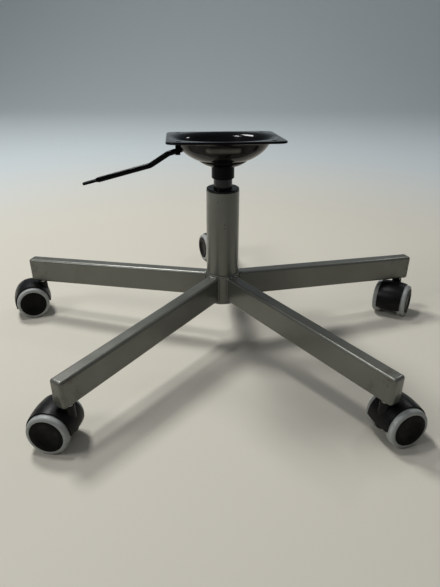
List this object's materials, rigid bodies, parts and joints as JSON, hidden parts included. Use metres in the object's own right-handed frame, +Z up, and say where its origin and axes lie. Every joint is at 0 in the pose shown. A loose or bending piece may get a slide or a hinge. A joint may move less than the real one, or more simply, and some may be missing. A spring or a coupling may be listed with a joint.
{
  "type": "office chair base",
  "caption": "Five-star swivel chair base on twin-wheel casters, with a gas lift column, a tilted seat plate and a height lever.",
  "frame": {"origin": "middle of the seat plate's bolt circle, on its top face and on the column's axis", "axes": "+Z up along the column, the front of the chair at -Y, +X to the right of someone facing it"},
  "size_m": [0.7169, 0.6929, 0.3388],
  "materials": {
    "frame_paint": "satin grey paint",
    "tyre": "smooth grey tread",
    "caster_nylon": "fine grain",
    "black_enamel": "gloss enamel",
    "cylinder_black": "satin",
    "black_plastic": "satin",
    "button_metal": "turned",
    "bump_rubber": "matte",
    "bright_steel": "plain"
  },
  "bodies": {
    "base": {"hub": "frame_paint", "column_tube": "frame_paint", "column_bottom": "bright_steel", "caster_sockets": "black_plastic", "caster_stems": "bright_steel", "bearing_lower_race": "bright_steel", "bearing_balls": "bright_steel", "guide_bush": "black_plastic", "arm_1_tube": "frame_paint", "arm_1_end_cap": "frame_paint", "arm_2_tube": "frame_paint", "arm_2_end_cap": "frame_paint", "arm_3_tube": "frame_paint", "arm_3_end_cap": "frame_paint", "arm_4_tube": "frame_paint", "arm_4_end_cap": "frame_paint", "arm_5_tube": "frame_paint", "arm_5_end_cap": "frame_paint"},
    "spindle": {"bearing_upper_race": "bright_steel", "piston_rod": "bright_steel", "retaining_clip": "bright_steel", "bump_stop": "bump_rubber", "piston": "bright_steel"},
    "seat": {"gas_cylinder": "cylinder_black", "seat_plate": "black_enamel", "support_cup": "black_enamel", "taper_sleeve": "black_enamel", "lever_guide": "black_enamel"},
    "lever": {"release_lever": "black_enamel"},
    "button": {"release_button": "button_metal"},
    "caster_1": {"caster_1_hood": "caster_nylon", "caster_1_axle": "bright_steel"},
    "caster_1_left": {"caster_1_left_wheel": "caster_nylon", "caster_1_left_tyre": "tyre"},
    "caster_1_right": {"caster_1_right_wheel": "caster_nylon", "caster_1_right_tyre": "tyre"},
    "caster_2": {"caster_2_hood": "caster_nylon", "caster_2_axle": "bright_steel"},
    "caster_2_left": {"caster_2_left_wheel": "caster_nylon", "caster_2_left_tyre": "tyre"},
    "caster_2_right": {"caster_2_right_wheel": "caster_nylon", "caster_2_right_tyre": "tyre"},
    "caster_3": {"caster_3_hood": "caster_nylon", "caster_3_axle": "bright_steel"},
    "caster_3_left": {"caster_3_left_wheel": "caster_nylon", "caster_3_left_tyre": "tyre"},
    "caster_3_right": {"caster_3_right_wheel": "caster_nylon", "caster_3_right_tyre": "tyre"},
    "caster_4": {"caster_4_hood": "caster_nylon", "caster_4_axle": "bright_steel"},
    "caster_4_left": {"caster_4_left_wheel": "caster_nylon", "caster_4_left_tyre": "tyre"},
    "caster_4_right": {"caster_4_right_wheel": "caster_nylon", "caster_4_right_tyre": "tyre"},
    "caster_5": {"caster_5_hood": "caster_nylon", "caster_5_axle": "bright_steel"},
    "caster_5_left": {"caster_5_left_wheel": "caster_nylon", "caster_5_left_tyre": "tyre"},
    "caster_5_right": {"caster_5_right_wheel": "caster_nylon", "caster_5_right_tyre": "tyre"}
  },
  "joints": [
    {"name": "seat_swivel", "type": "hinge", "parent": "base", "child": "spindle", "pos_m": [0, 0, 0], "axis": [0, 0, 1], "continuous": true},
    {"name": "height_lift", "type": "slide", "parent": "spindle", "child": "seat", "axis": [0, 0, 1], "range_m": [0, 0.085]},
    {"name": "lever_pivot", "type": "hinge", "parent": "seat", "child": "lever", "pos_m": [-0.06581, -0.00506, -0.01973], "axis": [-0.0767, 0.9971, 0], "range_deg": [0, 3.5]},
    {"name": "button_travel", "type": "slide", "parent": "seat", "child": "button", "axis": [0, 0, -1], "range_m": [0, 0.0041]},
    {"name": "caster_1_swivel", "type": "hinge", "parent": "base", "child": "caster_1", "pos_m": [0.20403, -0.26494, -0.3035], "axis": [0, 0, 1], "continuous": true},
    {"name": "caster_1_left_roll", "type": "hinge", "parent": "caster_1", "child": "caster_1_left", "pos_m": [0.22256, -0.25742, -0.3035], "axis": [-0.3762, 0.9265, 0], "continuous": true},
    {"name": "caster_1_right_roll", "type": "hinge", "parent": "caster_1", "child": "caster_1_right", "pos_m": [0.22256, -0.25742, -0.3035], "axis": [-0.3762, 0.9265, 0], "continuous": true},
    {"name": "caster_2_swivel", "type": "hinge", "parent": "base", "child": "caster_2", "pos_m": [0.31502, 0.11217, -0.3035], "axis": [0, 0, 1], "continuous": true},
    {"name": "caster_2_left_roll", "type": "hinge", "parent": "caster_2", "child": "caster_2_left", "pos_m": [0.30533, 0.09468, -0.3035], "axis": [0.8746, -0.4848, 0], "continuous": true},
    {"name": "caster_2_right_roll", "type": "hinge", "parent": "caster_2", "child": "caster_2_right", "pos_m": [0.30533, 0.09468, -0.3035], "axis": [0.8746, -0.4848, 0], "continuous": true},
    {"name": "caster_3_swivel", "type": "hinge", "parent": "base", "child": "caster_3", "pos_m": [-0.00934, 0.33427, -0.3035], "axis": [0, 0, 1], "continuous": true},
    {"name": "caster_3_left_roll", "type": "hinge", "parent": "caster_3", "child": "caster_3_left", "pos_m": [-0.01683, 0.35281, -0.3035], "axis": [-0.9272, -0.3746, 0], "continuous": true},
    {"name": "caster_3_right_roll", "type": "hinge", "parent": "caster_3", "child": "caster_3_right", "pos_m": [-0.01683, 0.35281, -0.3035], "axis": [-0.9272, -0.3746, 0], "continuous": true},
    {"name": "caster_4_swivel", "type": "hinge", "parent": "base", "child": "caster_4", "pos_m": [-0.32079, 0.09441, -0.3035], "axis": [0, 0, 1], "continuous": true},
    {"name": "caster_4_left_roll", "type": "hinge", "parent": "caster_4", "child": "caster_4_left", "pos_m": [-0.33988, 0.08843, -0.3035], "axis": [0.299, -0.9542, 0], "continuous": true},
    {"name": "caster_4_right_roll", "type": "hinge", "parent": "caster_4", "child": "caster_4_right", "pos_m": [-0.33988, 0.08843, -0.3035], "axis": [0.299, -0.9542, 0], "continuous": true},
    {"name": "caster_5_swivel", "type": "hinge", "parent": "base", "child": "caster_5", "pos_m": [-0.18893, -0.27592, -0.3035], "axis": [0, 0, 1], "continuous": true},
    {"name": "caster_5_left_roll", "type": "hinge", "parent": "caster_5", "child": "caster_5_left", "pos_m": [-0.2086, -0.27231, -0.3035], "axis": [-0.1805, -0.9836, 0], "continuous": true},
    {"name": "caster_5_right_roll", "type": "hinge", "parent": "caster_5", "child": "caster_5_right", "pos_m": [-0.2086, -0.27231, -0.3035], "axis": [-0.1805, -0.9836, 0], "continuous": true}
  ],
  "couplings": [
    {"joint": "button_travel", "follows": "lever_pivot", "m_per_rad": 0.066}
  ]
}
